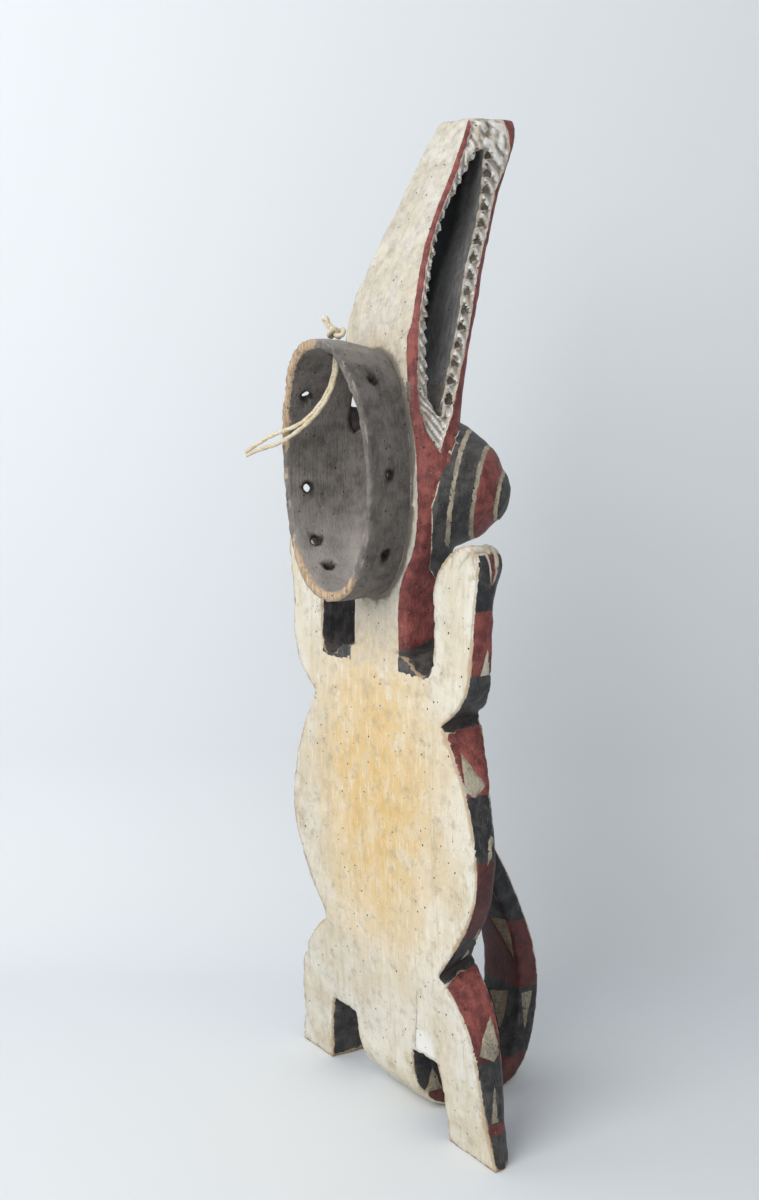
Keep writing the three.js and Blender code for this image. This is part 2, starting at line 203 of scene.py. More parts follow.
cord_fibre = fibre_material()
middle_path = smooth_path(cord_points, 1.0)
share = np.linspace(0, 1, len(middle_path))
ease = np.clip((share - 0.5) / 0.5, 0, 1)
ease = ease ** 2 * (3 - 2 * ease)
apart = cord_apart[0] + cord_apart[1] * np.sin(np.pi * ease)
heading = np.gradient(middle_path, axis=0)
sideways = np.cross(heading, (0, 1, 0))
sideways /= np.linalg.norm(sideways, axis=1, keepdims=True)
for name, side in (("upper", 1), ("lower", -1)):
    path = middle_path - sideways * (side * apart)[:, None]
    mesh = strand_mesh("cord_" + name, path, cord_radius, side * 0.6, taper=0.3 if side < 0 else 0.1)
    strand = add_piece("bite_cord_" + name, mesh, cord_fibre)
    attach(strand, "root")
    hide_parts("cord_tail_" + name)

# The knot: the doubled cord tied round itself on top of the cup's wall, with the end of its fold
# sticking up beside it. It sits on the wall and keeps the cord from slipping down its hole.
knot_place = np.array([-9, -55, 780.6])
knot_turns = np.linspace(0, 2 * np.pi, 90)
knot_size = (2.9, 2.3, 2.9)
trefoil = np.stack([np.sin(knot_turns) + 2 * np.sin(2 * knot_turns),
                    np.cos(knot_turns) - 2 * np.cos(2 * knot_turns),
                    -np.sin(3 * knot_turns)], axis=1) * knot_size + knot_place
fold_path = smooth_path([[-9, -54, 782], [-14, -56, 784], [-18.5, -58, 787.5], [-22, -60, 792.5],
                         [-20.5, -61.5, 795.5], [-16.5, -61, 794], [-15.5, -59, 789], [-10, -56, 784]], 0.8)
knot_parts = []
for name, path, thick in (("wraps", smooth_path(trefoil, 0.8), 2.6), ("fold", fold_path, 2.2)):
    knot_parts.append(strand_mesh("knot_" + name, path, thick, 0.4, sides=14))
knot_form = bmesh.new()
for part in knot_parts:
    knot_form.from_mesh(part)
knot_mesh = bpy.data.meshes.new("cord_knot_form")
knot_form.to_mesh(knot_mesh)
knot_form.free()
knot = add_piece("bite_cord_knot", knot_mesh, cord_fibre)
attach(knot, "root")
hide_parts("cord_knot")

# The mask: one block of light wood, worked with adze and knife. The block's facets are smoothed
# between its sharp edges, then the finer carving is cut in: overlapping teeth along both jaws,
# outlines round the painted triangles, toes, chips along the edges and the tools' unevenness.
voxel = 0.0014
piece_triangles = 190000
edge_sharpness = 0.012               # how little the surface must bend to be smoothed across
smoothing_rounds = 40
ridge_rounds = 5


def joined_copy(name):
    """A CAD node's triangles as one mesh whose faces share their corners."""
    form = bmesh.new()
    form.from_mesh(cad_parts[name].data)
    bmesh.ops.remove_doubles(form, verts=form.verts, dist=1e-6)
    mesh = bpy.data.meshes.new(name + "_copy")
    form.to_mesh(mesh)
    form.free()
    return mesh


def finished(mesh, kind, **settings):
    """The mesh after one modifier. A vertex group takes its weights from the attribute of its name."""
    holder = bpy.data.objects.new("holder", mesh)
    scene.collection.objects.link(holder)
    if "vertex_group" in settings:
        group = holder.vertex_groups.new(name=settings["vertex_group"])
        weights = np.zeros(len(mesh.vertices), dtype=np.float32)
        mesh.attributes[settings["vertex_group"]].data.foreach_get("value", weights)
        for level in np.unique(weights):
            group.add(np.flatnonzero(weights == level).tolist(), float(level), "REPLACE")
    modifier = holder.modifiers.new("step", kind)
    for key, value in settings.items():
        setattr(modifier, key, value)
    graph = bpy.context.evaluated_depsgraph_get()
    result = bpy.data.meshes.new_from_object(holder.evaluated_get(graph))
    bpy.data.objects.remove(holder)
    return result


def read(mesh):
    """Vertices in the carver's millimetres, and their normals."""
    places = np.zeros(len(mesh.vertices) * 3, dtype=np.float32)
    mesh.vertices.foreach_get("co", places)
    normals = np.zeros(len(mesh.vertices) * 3, dtype=np.float32)
    mesh.vertex_normals.foreach_get("vector", normals)
    places = places.reshape(-1, 3).astype(float) * 1000 - carver_zero
    return places, normals.reshape(-1, 3).astype(float)


def write(mesh, points):
    """Vertices moved to points in the carver's millimetres."""
    mesh.vertices.foreach_set("co", metres(points).astype(np.float32).ravel())
    mesh.update()


def eased(values, edges, weight, rounds):
    """Each value goes half way to the weighted mean of its neighbours', a number of times."""
    first, second = edges.T
    count = len(values)
    total = np.bincount(first, weight, count) + np.bincount(second, weight, count)
    values = values.copy()
    for _ in range(rounds):
        for k in range(values.shape[1]):
            column = values[:, k]
            pull = (np.bincount(first, weight * column[second], count)
                    + np.bincount(second, weight * column[first], count))
            values[:, k] += 0.5 * (pull - total * column) / np.maximum(total, 2)
    return values


mask_mesh = finished(joined_copy("carved_mask"), "REMESH", mode="VOXEL", voxel_size=voxel)
points, normals = read(mask_mesh)
edges = np.zeros(len(mask_mesh.edges) * 2, dtype=np.int32)
mask_mesh.edges.foreach_get("vertices", edges)
edges = edges.reshape(-1, 2)
bend = 1 - (normals[edges[:, 0]] * normals[edges[:, 1]]).sum(axis=1)
points = eased(points, edges, np.exp(-bend / edge_sharpness), smoothing_rounds)
write(mask_mesh, points)
points, normals = read(mask_mesh)
even = np.ones(len(edges))
ridge = ((points - eased(points, edges, even, ridge_rounds)) * normals).sum(axis=1)
ridge = eased(ridge[:, None], edges, even, 1)[:, 0]

# The mask's paint: white kaolin clay over the whole block, red and black earth over that on the
# sides, the back and round the jaws, with triangles and rings left white inside cut outlines.
# Each colour is a field over the surface: the distance inside its edge in millimetres.
none = -9.0                          # a field's value where its colour is nowhere near
well_inside = 6.0
band_lap = 3                         # how far a band's paint runs on under the one above it


def cubic(rows, s):
    """Rows of (station, value, ...) as a function of the station: a cubic with mean slopes."""
    rows = np.asarray(rows, float)
    station, value = rows[:, 0], rows[:, 1:]
    low = np.clip(np.arange(len(rows)) - 1, 0, None)
    high = np.clip(np.arange(len(rows)) + 1, None, len(rows) - 1)
    slope = (value[high] - value[low]) / (station[high] - station[low])[:, None]
    i = np.clip(np.searchsorted(station, s) - 1, 0, len(rows) - 2)
    span = (station[i + 1] - station[i])[:, None]
    t = np.clip((s - station[i])[:, None] / span, 0, 1)
    blend = (value[i] * (2 * t ** 3 - 3 * t ** 2 + 1) + value[i + 1] * (3 * t ** 2 - 2 * t ** 3)
             + span * (slope[i] * (t ** 3 - 2 * t ** 2 + t) + slope[i + 1] * (t ** 3 - t ** 2)))
    return blend.T


def soft(value, low, high):
    """A soft step from 0 to 1 as the value goes from low to high."""
    t = np.clip((value - low) / (high - low), 0, 1)
    return t * t * (3 - 2 * t)


def between(value, low, high):
    """How far a value lies inside a band, below zero outside it."""
    return np.minimum(value - low, high - value)


def banded(height, *borders):
    """Two colours that take turns going up: how far inside its own bands each of them is.

    A band starts at its border and runs on by band_lap under the next one. The first band has no
    start of its own and the last one no end.
    """
    levels = [-1e4, *borders, 1e4]
    bands = [between(height, low, high + band_lap) for low, high in zip(levels, levels[1:])]
    return np.maximum.reduce(bands[0::2]), np.maximum.reduce(bands[1::2])


def inside(a, b, corners):
    """How far a point lies inside a flat convex outline: its least distance to the sides' lines."""
    corners = np.asarray(corners, float)
    following = np.roll(corners, -1, axis=0)
    area = np.sum(corners[:, 0] * following[:, 1] - following[:, 0] * corners[:, 1])
    least = np.full(len(a), 1e3)
    for (a0, b0), (a1, b1) in zip(corners, following):
        run = np.hypot(a1 - a0, b1 - b0)
        away = (a1 - a0) * (b - b0) - (b1 - b0) * (a - a0)
        least = np.minimum(least, np.sign(area) * away / run)
    return least


def triangle_row(a, b, base, height, pitch):
    """How far inside a row of hanging triangles: their base at b = base, one for each pitch of a."""
    off = np.abs((a / pitch) % 1 - 0.5) * pitch
    half_base = pitch * 0.42
    slant = np.hypot(half_base, height)
    edge = (half_base * (1 - (base - b) / height) - off) * height / slant
    return np.minimum(edge, base - b)


x, y, z = points.T
reach = np.abs(x)
inward = -normals[:, 0] * np.sign(x)
facing = -normals[:, 1]
log_rows = [                         # height, the belly's Y, thickness behind it
    [-6, 0, 66], [12, -1, 64], [30, -3, 62], [60, -6, 72], [85, -8, 76], [126, -10, 68],
    [175, -13, 54], [205, -14, 44], [228, -14, 46], [252, -15, 58], [285, -16, 71],
    [340, -17, 63], [390, -18, 58], [440, -18, 60], [500, -18, 62], [538, -18, 66],
    [554, -18, 82], [568, -18, 86], [578, -18, 76],
]
log_half = 176
belly, thick = cubic(log_rows, z)
depth = y - belly
log_back = belly + thick * np.sqrt(np.clip(1 - (reach / log_half) ** 2, 0, 1))

head_half = 99                       # half widths of the head, the tail and the tail's root
tail_half = 62
root_half = 80
head_foot = 455
tail_top = 420
root_top = 68
arm_foot = (405, 0.2)                # a slanted border: height at the belly, rise towards the back
leg_top = (160, 0.36)
head = (reach < head_half) & (z > head_foot)
arm = (reach >= head_half) & (z - arm_foot[1] * depth > arm_foot[0])
tail = (y > log_back + 4) & (reach < tail_half) & (z < tail_top)
tail |= (reach < root_half) & (z < root_top)
leg = ~tail & ~head & (z - leg_top[1] * depth < leg_top[0])
torso = ~head & ~arm & ~tail & ~leg

# Arms: red over the elbow, black forearm, and a hand with stripes that fan out over its top
wrist = 549
hand_top = 560
fan_foot = 542                       # where the hand's stripes would meet
red_stripe = (-0.16, 0.12)           # slopes of the stripes' borders from there
black_stripes = (-0.24, 0.32)
spread = np.maximum(z - fan_foot, 5)
fan = (y - 1) / spread
over_hand = (0.5 - normals[:, 2]) * 8


def down_arm(band, stripe):
    """An arm's field: its bands up to the wrist, then the hand's stripe, which ends on its top."""
    ended = np.where(z > hand_top, np.minimum(stripe, over_hand), stripe)
    return np.where(z > wrist, ended, band)


black_band, red_band = banded(z, 463, 525)
red_arm = down_arm(red_band, between(fan, *red_stripe) * spread)
black_arm = down_arm(black_band, np.maximum(black_stripes[0] - fan, fan - black_stripes[1]) * spread)
cream_arm = inside(depth, z, [(19, 491), (14, 465), (26, 465)])

# Torso: four bands, with white triangles on its sides
black_torso, red_torso = banded(z, 211, 294, 350)
cream_torso = np.maximum.reduce([
    inside(depth, z, [(11, 391), (3.5, 357), (12, 352), (27, 361)]),
    inside(depth, z, [(14, 290), (17, 312), (30, 326), (33, 318)]),
    inside(depth, z, [(20, 222), (22, 207), (36, 214), (34, 220)]),
    inside(depth, z, [(27, 194), (24, 178), (33, 186)]),
])

# Hind legs: red thigh, black shin, a red line over a black foot
black_leg, red_leg = banded(z, 28, 41, 95)
cream_leg = np.maximum(
    inside(depth, z, [(30, 136), (15, 119), (7, 105), (21, 98), (32, 105)]),
    inside(depth, z, [(18, 77), (8, 42), (16, 42)]))

# Tail: painted on its inner face and its two sides, white outside as the belly it continues
loop_middle = (45, 110)              # Y and height
from_loop = np.stack([y - loop_middle[0], z - loop_middle[1]])
outward = (normals[:, 1] * from_loop[0] + normals[:, 2] * from_loop[1]) / np.hypot(*from_loop)
on_side = -inward > 0.5
root = (z < root_top) & (y < loop_middle[0])
red_tail, black_tail = banded(z, 29, 94, 172)
red_root, black_root = banded(z, 25)
red_tail = np.where(root, red_root, red_tail)
black_tail = np.where(root, black_root, black_tail)
cream_tail = np.where(facing > 0.3, np.maximum.reduce([
    inside(x, z, [(8, 240), (22, 240), (23, 194)]),
    inside(x, z, [(-1, 168), (30, 175), (24, 128)]),
    inside(x, z, [(-19, 78), (13, 88), (10, 45)]),
]), none)
cream_tail = np.where(on_side, inside(y, z, [(149, 91), (164, 91), (152, 49)]), cream_tail)
cream_tail = np.where(root & on_side, inside(y, z, [(17, 50), (30, 24), (10, 24)]), cream_tail)

# The back, where the same bands go on with rows of triangles
behind_body = normals[:, 1] > 0.45
rows_behind = np.maximum.reduce([
    triangle_row(x, z, 353, 34, 46), triangle_row(x + 20, z, 212, 26, 46),
    triangle_row(x, z, 98, 30, 40), triangle_row(x, z, 466, 30, 40),
    triangle_row(x + 23, z, 294, 30, 46),
])

# All of the body together. The walls of the slots beside neck and tail are black, and the flat
# belly side is white
regions = [arm, torso, leg, tail]
red = np.select(regions, [red_arm, red_torso, red_leg, red_tail], none)
black = np.select(regions, [black_arm, black_torso, black_leg, black_tail], none)
cream = np.select(regions, [cream_arm, cream_torso, cream_leg, cream_tail], none)
cream = np.where(behind_body & (arm | torso | leg), rows_behind, cream)
slot_wall = (inward > 0.5) & ((arm & (z > 470)) | (leg & (z < 90)))
slot_floor = (normals[:, 2] > 0.4) & (between(reach, 55, 104) > 0) & (between(z, 440, 505) > 0)
black = np.where(slot_wall | slot_floor, well_inside, black)
cream = np.where(slot_wall | slot_floor, none, cream)
on_front = soft(facing, 0.6, 0.95)
from_belly = np.where(tail, (0.45 - outward) * 10, depth - 1.2 - 8 * on_front * (depth < 3))
red = np.minimum(red, from_belly)
black = np.minimum(black, from_belly)

# Head, neck and snout: a red line along the front edge of neck and chin, another along the
# forehead edge, teeth between them, and black behind a ragged white line
teeth_foot = 666                     # the corner of the mouth, where the two rows of teeth meet
forehead_foot = 716
white_span = (528, 642)              # from where to where the white line runs, and its width
white_width = 3.4
head_rows = [                        # height, half width, front, back
    [430, 50, -14, 40], [480, 50, -18, 44], [520, 50, -18, 48], [545, 56, -18, 50],
    [575, 73, -19, 50], [608, 82, -20, 50], [645, 83, -20, 50], [680, 79, -20, 50],
    [705, 71, -19, 52], [735, 66, -18, 54], [775, 65, -17, 60], [800, 65, -13, 67],
    [830, 59, -4, 77], [860, 51, 8, 88], [890, 46, 22, 98], [920, 43, 38, 108],
    [950, 40, 53, 120], [972, 38.5, 63, 129], [985, 37, 68, 132], [992, 35, 71.5, 132],
    [996, 32, 74, 131],
]
half, fore, aft = cubic(head_rows, z)
along_edge = (y - fore) - (half - reach)
over_back = (half - reach) - (aft - y)
red_from = np.interp(z, [500, 540, 570, 609, 645, 714, 775, 784, 880, 990],
                     [-7, -7, -4, -5, -7, -7.5, -9, -5, -3, -4.5])
jaw_line = np.interp(z, [teeth_foot, 672, 686, 703, 720, 755, 775],
                     [5, 1, -6, -9.3, -10.4, -9.6, -9])
jaw_line = np.where(z > 775, fore + np.interp(z, [775, 880, 990], [8, 6, 6]), jaw_line)
brow_line = np.interp(
    z, [teeth_foot, 675, 686, 703, 720, 735, 763, 790, 811, 842, 869, 896, 920, 943, 961, 975, 990],
    [5, 9, 15, 26.3, 32.3, 37.5, 45.5, 51.5, 56.5, 67.5, 79.5, 89.5, 97, 111, 117, 116, 112])
teeth = np.minimum(between(y, jaw_line, brow_line), z - teeth_foot)
behind = np.interp(z, [500, 525, 540, 556, 587, 616, 638, 650, 666, 680, 700, 717, 730],
                   [80, 80, 20, 3, -4, -8, -4, 4, 18, 30, 44, 58, 200])
white_behind = between(z, *white_span) > 0
red_head = np.minimum(np.minimum(along_edge - red_from, behind + band_lap - y), -teeth)
black_head = y - behind - np.where(white_behind, white_width, 0)
black_head = np.where(z > forehead_foot, over_back - 3, black_head)
black_head = np.maximum(black_head, 473 + 0.32 * (y + 18) - z)
black_head = np.minimum(black_head, along_edge - red_from)

# Eyes: black domes with one red ring and three cut white lines
eye_place = np.array([47, 50, 631])
eye_axis = np.array([0.698, 0.698, -0.156])
eye_radius = 67
inner_line = 23.5                    # heights on the dome of the lines on either side of the red
outer_line = 42.5
ring_rows = ((4, 2.0), (inner_line, 2.0), (outer_line, 1.6))       # height and half width
from_eye = np.stack([reach, y, z], axis=1) - eye_place
rise = from_eye @ eye_axis
round_eye = np.sqrt(np.maximum((from_eye ** 2).sum(axis=1) - rise ** 2, 0))
eye = head & (rise > -3) & (round_eye < eye_radius)
rings = np.maximum.reduce([width - np.abs(rise - level) for level, width in ring_rows])
red_head = np.where(eye, between(rise, inner_line - 2.5, outer_line + 1.5), red_head)
black_head = np.where(eye, np.maximum(inner_line - rise, rise - outer_line), black_head)
red = np.where(head, red_head, red)
black = np.where(head, black_head, black)
cream = np.where(head, np.where(eye, rings, none), cream)

# Inside the mouth: black between the rows of teeth, greyer on the near part of the upper jaw
mouth_foot = 690
mouth_top = 968
mouth_lap = 3                        # how far the black reaches in between the teeth
jaw_side = 6.5                       # thickness of the jaws' outer edge, which stays red
mouth_rows = [                       # height, the lower jaw's edge, the upper jaw's edge
    [mouth_foot, 13, 15], [702, 13, 15], [716, 6, 20], [735, 3, 25], [763, 1, 33], [790, 1.5, 39],
    [811, 4.5, 44], [842, 13.5, 55], [869, 25, 67], [896, 38, 77], [920, 53, 82], [943, 68, 86],
    [961, 84, 88],
]
chin, brow = cubic(mouth_rows, z)
mouth = np.minimum.reduce([half - jaw_side - reach, y - chin + mouth_lap, brow + mouth_lap - y,
                           between(z, mouth_foot, mouth_top)])
black = np.where(head & (z > mouth_foot), np.maximum(black, mouth), black)
cream = np.where(head & (mouth > 0), none, cream)
# Painted light and shade in the mouth: grey where light falls in on the near part of the upper jaw, near
# black farther in
mouth_painted_light = 1.8 * soft(facing, 0.2, 0.7) * soft(x, -12, 45) - 0.8
mouth_painted_light = np.where(head & (mouth > -2), mouth_painted_light, 0)

# The cup: stained dark inside and out, and its rim is worn to the wood above and below, where
# it is held
cup_half = (82, 126)                 # half width and half height of the outside and the floor
floor_half = (64, 111)
cup_middle = 648
cup_foot = -20.6                     # the Y where the cup grows out of the head
floor_back = 26                      # the Y that its floor stays in front of
rim_depth = 72                       # how far in front of Y = 0 the rim lies, and how much
rim_lean = 17                        # further on top
oval_power = 2.2
oval = (reach / floor_half[0]) ** oval_power + (np.abs(z - cup_middle) / floor_half[1]) ** oval_power
oval = oval ** (1 / oval_power)
on_floor = np.where(y < floor_back, (1 - oval) * floor_half[0], none)
stain = np.maximum(cup_foot - y - 8 * on_front * (y > -24), on_floor)
stain = np.where(head | (y < -20), stain, none)
stain = np.where((z > mouth_foot) & (mouth > 0) & (y > -4), none, stain)
passage = np.minimum.reduce([between(z, 676, 733), between(y, -17, floor_back), 60 - reach])
stain = np.maximum(stain, np.where(head, passage, none))
black = np.where(head & (passage > 0), none, black)
leaning = rim_lean * np.clip((1 + (z - cup_middle) / cup_half[1]) / 2, 0, 1) ** 3
off_rim = y + rim_depth + leaning
cup_angle = np.degrees(np.arctan2(z - cup_middle, x))       # 0 at the near side, 90 on top
worn = np.maximum.reduce([
    soft(cup_angle, 78, 95) * (1 - soft(cup_angle, 150, 175)),
    soft(-cup_angle, 55, 75) * (1 - soft(-cup_angle, 120, 140)),
    0.35 * soft(np.abs(cup_angle), 160, 175)])
bare = worn * (1 - soft(off_rim, 1.0, 4.5)) * (y < -60)
from_cup = np.stack([x / cup_half[0] ** 2, (z - cup_middle) / cup_half[1] ** 2])
outwards = (normals[:, 0] * from_cup[0] + normals[:, 2] * from_cup[1]) / np.hypot(*from_cup)
# Painted shade in the hollow of the cup: on faces that turn across the oval and on sharp edges there
hole_painted_shade = (1 - soft(np.abs(outwards), 0.35, 0.75)) + soft(ridge, 0.32, 0.5)
hole_painted_shade *= (y < -27) & (off_rim > 7) & (stain > 0)
# Painted light in the cup: the stain lighter low inside, where light from above falls, and on the faces
# that look up on its top half
painted_light_low_inside = soft(cup_middle - z, 20, 95) * soft(-outwards, 0.3, 0.8)
painted_light_on_top = 0.8 * (z > cup_middle) * soft(normals[:, 2], 0.55, 0.95)
cup_painted_light = np.maximum(painted_light_low_inside, painted_light_on_top) * (stain > 0)

# The triangles and rings lie in the other colours, and the soles are bare wood
red = np.minimum(red, -cream)
black = np.minimum(black, -cream)
bare = np.maximum(bare, z < 1.2)

# How the paint aged: ochre on the belly, soot on torso and legs, brown dirt on the triangles. The darkening
# on the tail is painted shade
ochre_middle = (-2, 325)
ochre_half = (122, 165)
flat_front = soft(facing, 0.5, 0.8)
from_ochre = (((x - ochre_middle[0]) / ochre_half[0]) ** 2
              + ((z - ochre_middle[1]) / ochre_half[1]) ** 2)
ochre = np.exp(-from_ochre ** 1.5) * flat_front
ochre = np.maximum(ochre, 0.3 * head * flat_front * np.exp(-((z - 745) / 60) ** 2))
# Grey over the white, most on the head; on the far leg and the far side of the belly this grey is painted
# shade
grey_and_far_shade = np.select([head & (z > 660), head, leg & (x < 0), leg, arm], [1.0, 0.7, 0.6, 0.4, 0.25], 0.15)
grey_and_far_shade = np.where(torso & (facing > 0.5), np.maximum(grey_and_far_shade, 0.5 * soft(-x, 55, 110)), grey_and_far_shade)
# Soot on torso and legs; on the tail this darkening is painted shade
soot_and_tail_shade = np.select([torso & (z < 297), leg & (z > 90), leg & (z < 60), tail],
                 [0.75, 0.8 * (1 - soft(z, 100, 122)), 0.5, 0.6], 0.0)
dirty = np.select([torso, leg, tail & (outward < 0.4), arm, eye], [0.8, 0.95, 1.0, 0.3, 0.75], 0.0)
dirty = dirty * np.where(eye, 1, soft(depth, 2, 5))

# Above the near leg's slot a chip has come off lately, and a crack runs up beside it
belly_side = (facing > 0.7) & (y < 0)
fresh_cut = inside(x, z, [(61.5, 100), (79, 102.5), (89, 96), (95.5, 79.5), (63.5, 78)])
fresh = soft(fresh_cut, -0.5, 1.0) * belly_side
crack = np.abs(x - np.interp(z, [78, 100, 119, 137], [59, 62.2, 65, 66]))
crack = np.where((between(z, 76, 139) > 0) & belly_side, crack, -none)
crack = np.exp(-(crack / 0.8) ** 2)

# Carving: teeth as overlapping scales, rising down the jaw to a slanted edge where they drop
tooth_rows = (                       # pitch, height of one edge, its slant, depth
    (11.85, 721.4, -1.3, 3.0),
    (16.93, 724.2, 0.8, 4.4),
)
jaws_part = 702                      # above this the lower teeth end half way to the upper ones
tip_teeth = (949, 957)               # over these heights the rows turn into the tip's lumps
groove_depths = {"outline": 0.9, "line": 1.3, "toe": 2.6, "corner": 2.5, "fresh": 1.4, "crack": 1.2}


def waves(points, length, seed, count=14):
    """Smooth unevenness from about -1 to 1: sines of about the given length in many directions."""
    draw = np.random.default_rng(seed)
    direction = draw.normal(size=(count, 3))
    direction /= np.linalg.norm(direction, axis=1, keepdims=True)
    direction *= 2 * np.pi / (length * draw.uniform(0.7, 1.4, (count, 1)))
    phase = draw.uniform(0, 2 * np.pi, count)
    return np.sin(points @ direction.T + phase).sum(axis=1) / np.sqrt(count)


below = y < np.where(z > jaws_part, (chin + brow) / 2, 14)
from_gap = np.where(below, chin - y, y - brow)
phase = np.where(below, *[
    ((level - slant * from_gap - z) / pitch) % 1 for pitch, level, slant, _ in tooth_rows])
tooth_depth = np.where(below, tooth_rows[0][3], tooth_rows[1][3])
on_jaw = head * soft(teeth, 0, 2.5) * soft(-inward, 0.3, 0.6) * (mouth < 1)
lumpy = soft(z, *tip_teeth)
lumps = waves(points, 12, 8)
scales = tooth_depth * (1 - phase) ** 1.3 * (1 - 0.4 * lumpy)
sunk = on_jaw * (scales + lumpy * (1.2 - 1.2 * lumps))
# Painted light on the teeth: white towards each scale's raised edge and on the tip's raised lumps, grey
# painted shade where the scale sinks
tooth_painted_light = on_jaw * (0.3 + 0.7 * np.maximum(soft(phase, 0.3, 0.9), lumpy * soft(lumps, -0.5, 0.8)))

outline = np.where(eye | (mouth > -4) | head, 0, np.exp(-(cream / 1.3) ** 2))
line_cut = np.exp(-((y - behind - 2.2) / 1.6) ** 2) * (head & white_behind)
chip = soft(ridge, 0.3, 0.7) * np.clip(waves(points, 9, 5) - 0.1, 0, 1.5)
creases = np.exp(-(waves(points, 30, 11) / 0.22) ** 2) * arm * soft(z, 556, 566) * (inward < 0.5)
toes = sum(np.exp(-((y - groove) / 2.2) ** 2) for groove in (3, 14, 25))
toes = toes * soft(z, 560, 570) * arm
unevenness = 0.5 * waves(points, 55, 1) + 0.26 * waves(points, 17, 2) + 0.1 * waves(points, 7, 3, 24)
unevenness *= np.where(facing > 0.8, 0.6, 1.0)
corner = soft(teeth, -1, 3) * soft(735 - z, 0, 12) * soft(reach, half - 10, half - 3)
corner = np.where(head & (z > 664), corner, 0)
# Darker in the cuts: painted shade under each tooth scale's edge and between the tip's lumps, and dirt in
# the crack and the hand's creases
shade_under_scales = (1 - soft(phase, 0.0, 0.22)) * (0.7 - 0.4 * lumpy)
shade_between_lumps = lumpy * soft(-lumps, 0.7, 1.3)
dirt_and_shade_in_cuts = on_jaw * np.maximum(shade_under_scales, shade_between_lumps)
dirt_and_shade_in_cuts = np.maximum.reduce([dirt_and_shade_in_cuts, crack, 0.7 * creases])
lowered = (sunk + creases + groove_depths["outline"] * outline + groove_depths["line"] * line_cut
           + chip + groove_depths["toe"] * toes + groove_depths["corner"] * corner
           + groove_depths["fresh"] * fresh * soft(fresh_cut, 0, 8) + groove_depths["crack"] * crack)
points = points + normals * (unevenness - lowered)[:, None]
# The far corner of the snout's tip is worn down, and the soles stay flat on the floor
points[:, 2] -= 9 * soft(-x, 8, 36) ** 2 * soft(z, 975, 990) * soft(fore + 34 - y, 0, 16)
points[:, 2] = np.maximum(points[:, 2], 0)
write(mask_mesh, points)

# Edges are rubbed bare, but not those that lie sheltered: in the slots, the mouth and the cup
in_slot = (between(reach, 36, 104) > 0) & (between(z, 440, 560) > 0) & (facing < 0.7)
sheltered = in_slot | (on_jaw > 0.1) | ((stain > 0) & (off_rim > 6)) | (mouth > -3)
rub = (ridge - 0.1) * np.where(stain > 0, 0.8, 1.0)
rub = np.where(sheltered, np.minimum(rub, 0), rub)
fields = {
    "paint": (red, black, stain),
    "wear": (bare, ochre, soot_and_tail_shade),
    "form": (rub, dirt_and_shade_in_cuts, mouth_painted_light),
    "tone": (dirty, fresh, grey_and_far_shade),
    "part": (hole_painted_shade, cup_painted_light, tooth_painted_light),
}
for name, values in fields.items():
    layer = mask_mesh.attributes.new(name, "FLOAT_VECTOR", "POINT")
    values = np.clip(np.stack(values, axis=1), none, -none)
    layer.data.foreach_set("vector", values.astype(np.float32).ravel())

# Triangles are merged until few enough are left, but not along the paint's borders or the teeth
border = np.minimum.reduce([np.abs(red), np.abs(black), np.abs(stain)])
border = np.where(on_jaw > 0.02, 0, border)
loose = mask_mesh.attributes.new("loose", "FLOAT", "POINT")
loose.data.foreach_set("value", np.round(soft(border, 1.0, 2.2), 1).astype(np.float32))
mask_mesh = finished(mask_mesh, "DECIMATE", ratio=piece_triangles / (2 * len(mask_mesh.polygons)),
                     vertex_group="loose")
mask_mesh.name = "mask"
mask_mesh.attributes.remove(mask_mesh.attributes["loose"])
mask_mesh.shade_smooth()


def reckon(tree, operation, first, second=0.0):
    """Arithmetic on two values."""
    made = node(tree, "ShaderNodeMath", {0: first, 1: second}, operation=operation)
    return made.outputs[0]


def channels(tree, name):
    """The three values of a painted field."""
    source = node(tree, "ShaderNodeAttribute", attribute_name=name)
    return node(tree, "ShaderNodeSeparateXYZ", {0: source.outputs["Vector"]}).outputs


def swung(tree, value, amount):
    """A 0 to 1 noise as a swing of plus and minus half the amount."""
    return reckon(tree, "MULTIPLY", reckon(tree, "SUBTRACT", value, 0.5), amount)


def coated(tree, tone, *coats):
    """A tone under thin coats. Each covers it by start to end as its noise goes from low to high."""
    for noise, low, high, start, end, coat in coats:
        tone = mixed(tree, stepped(tree, noise, low, high, start, end), tone, coat)
    return tone


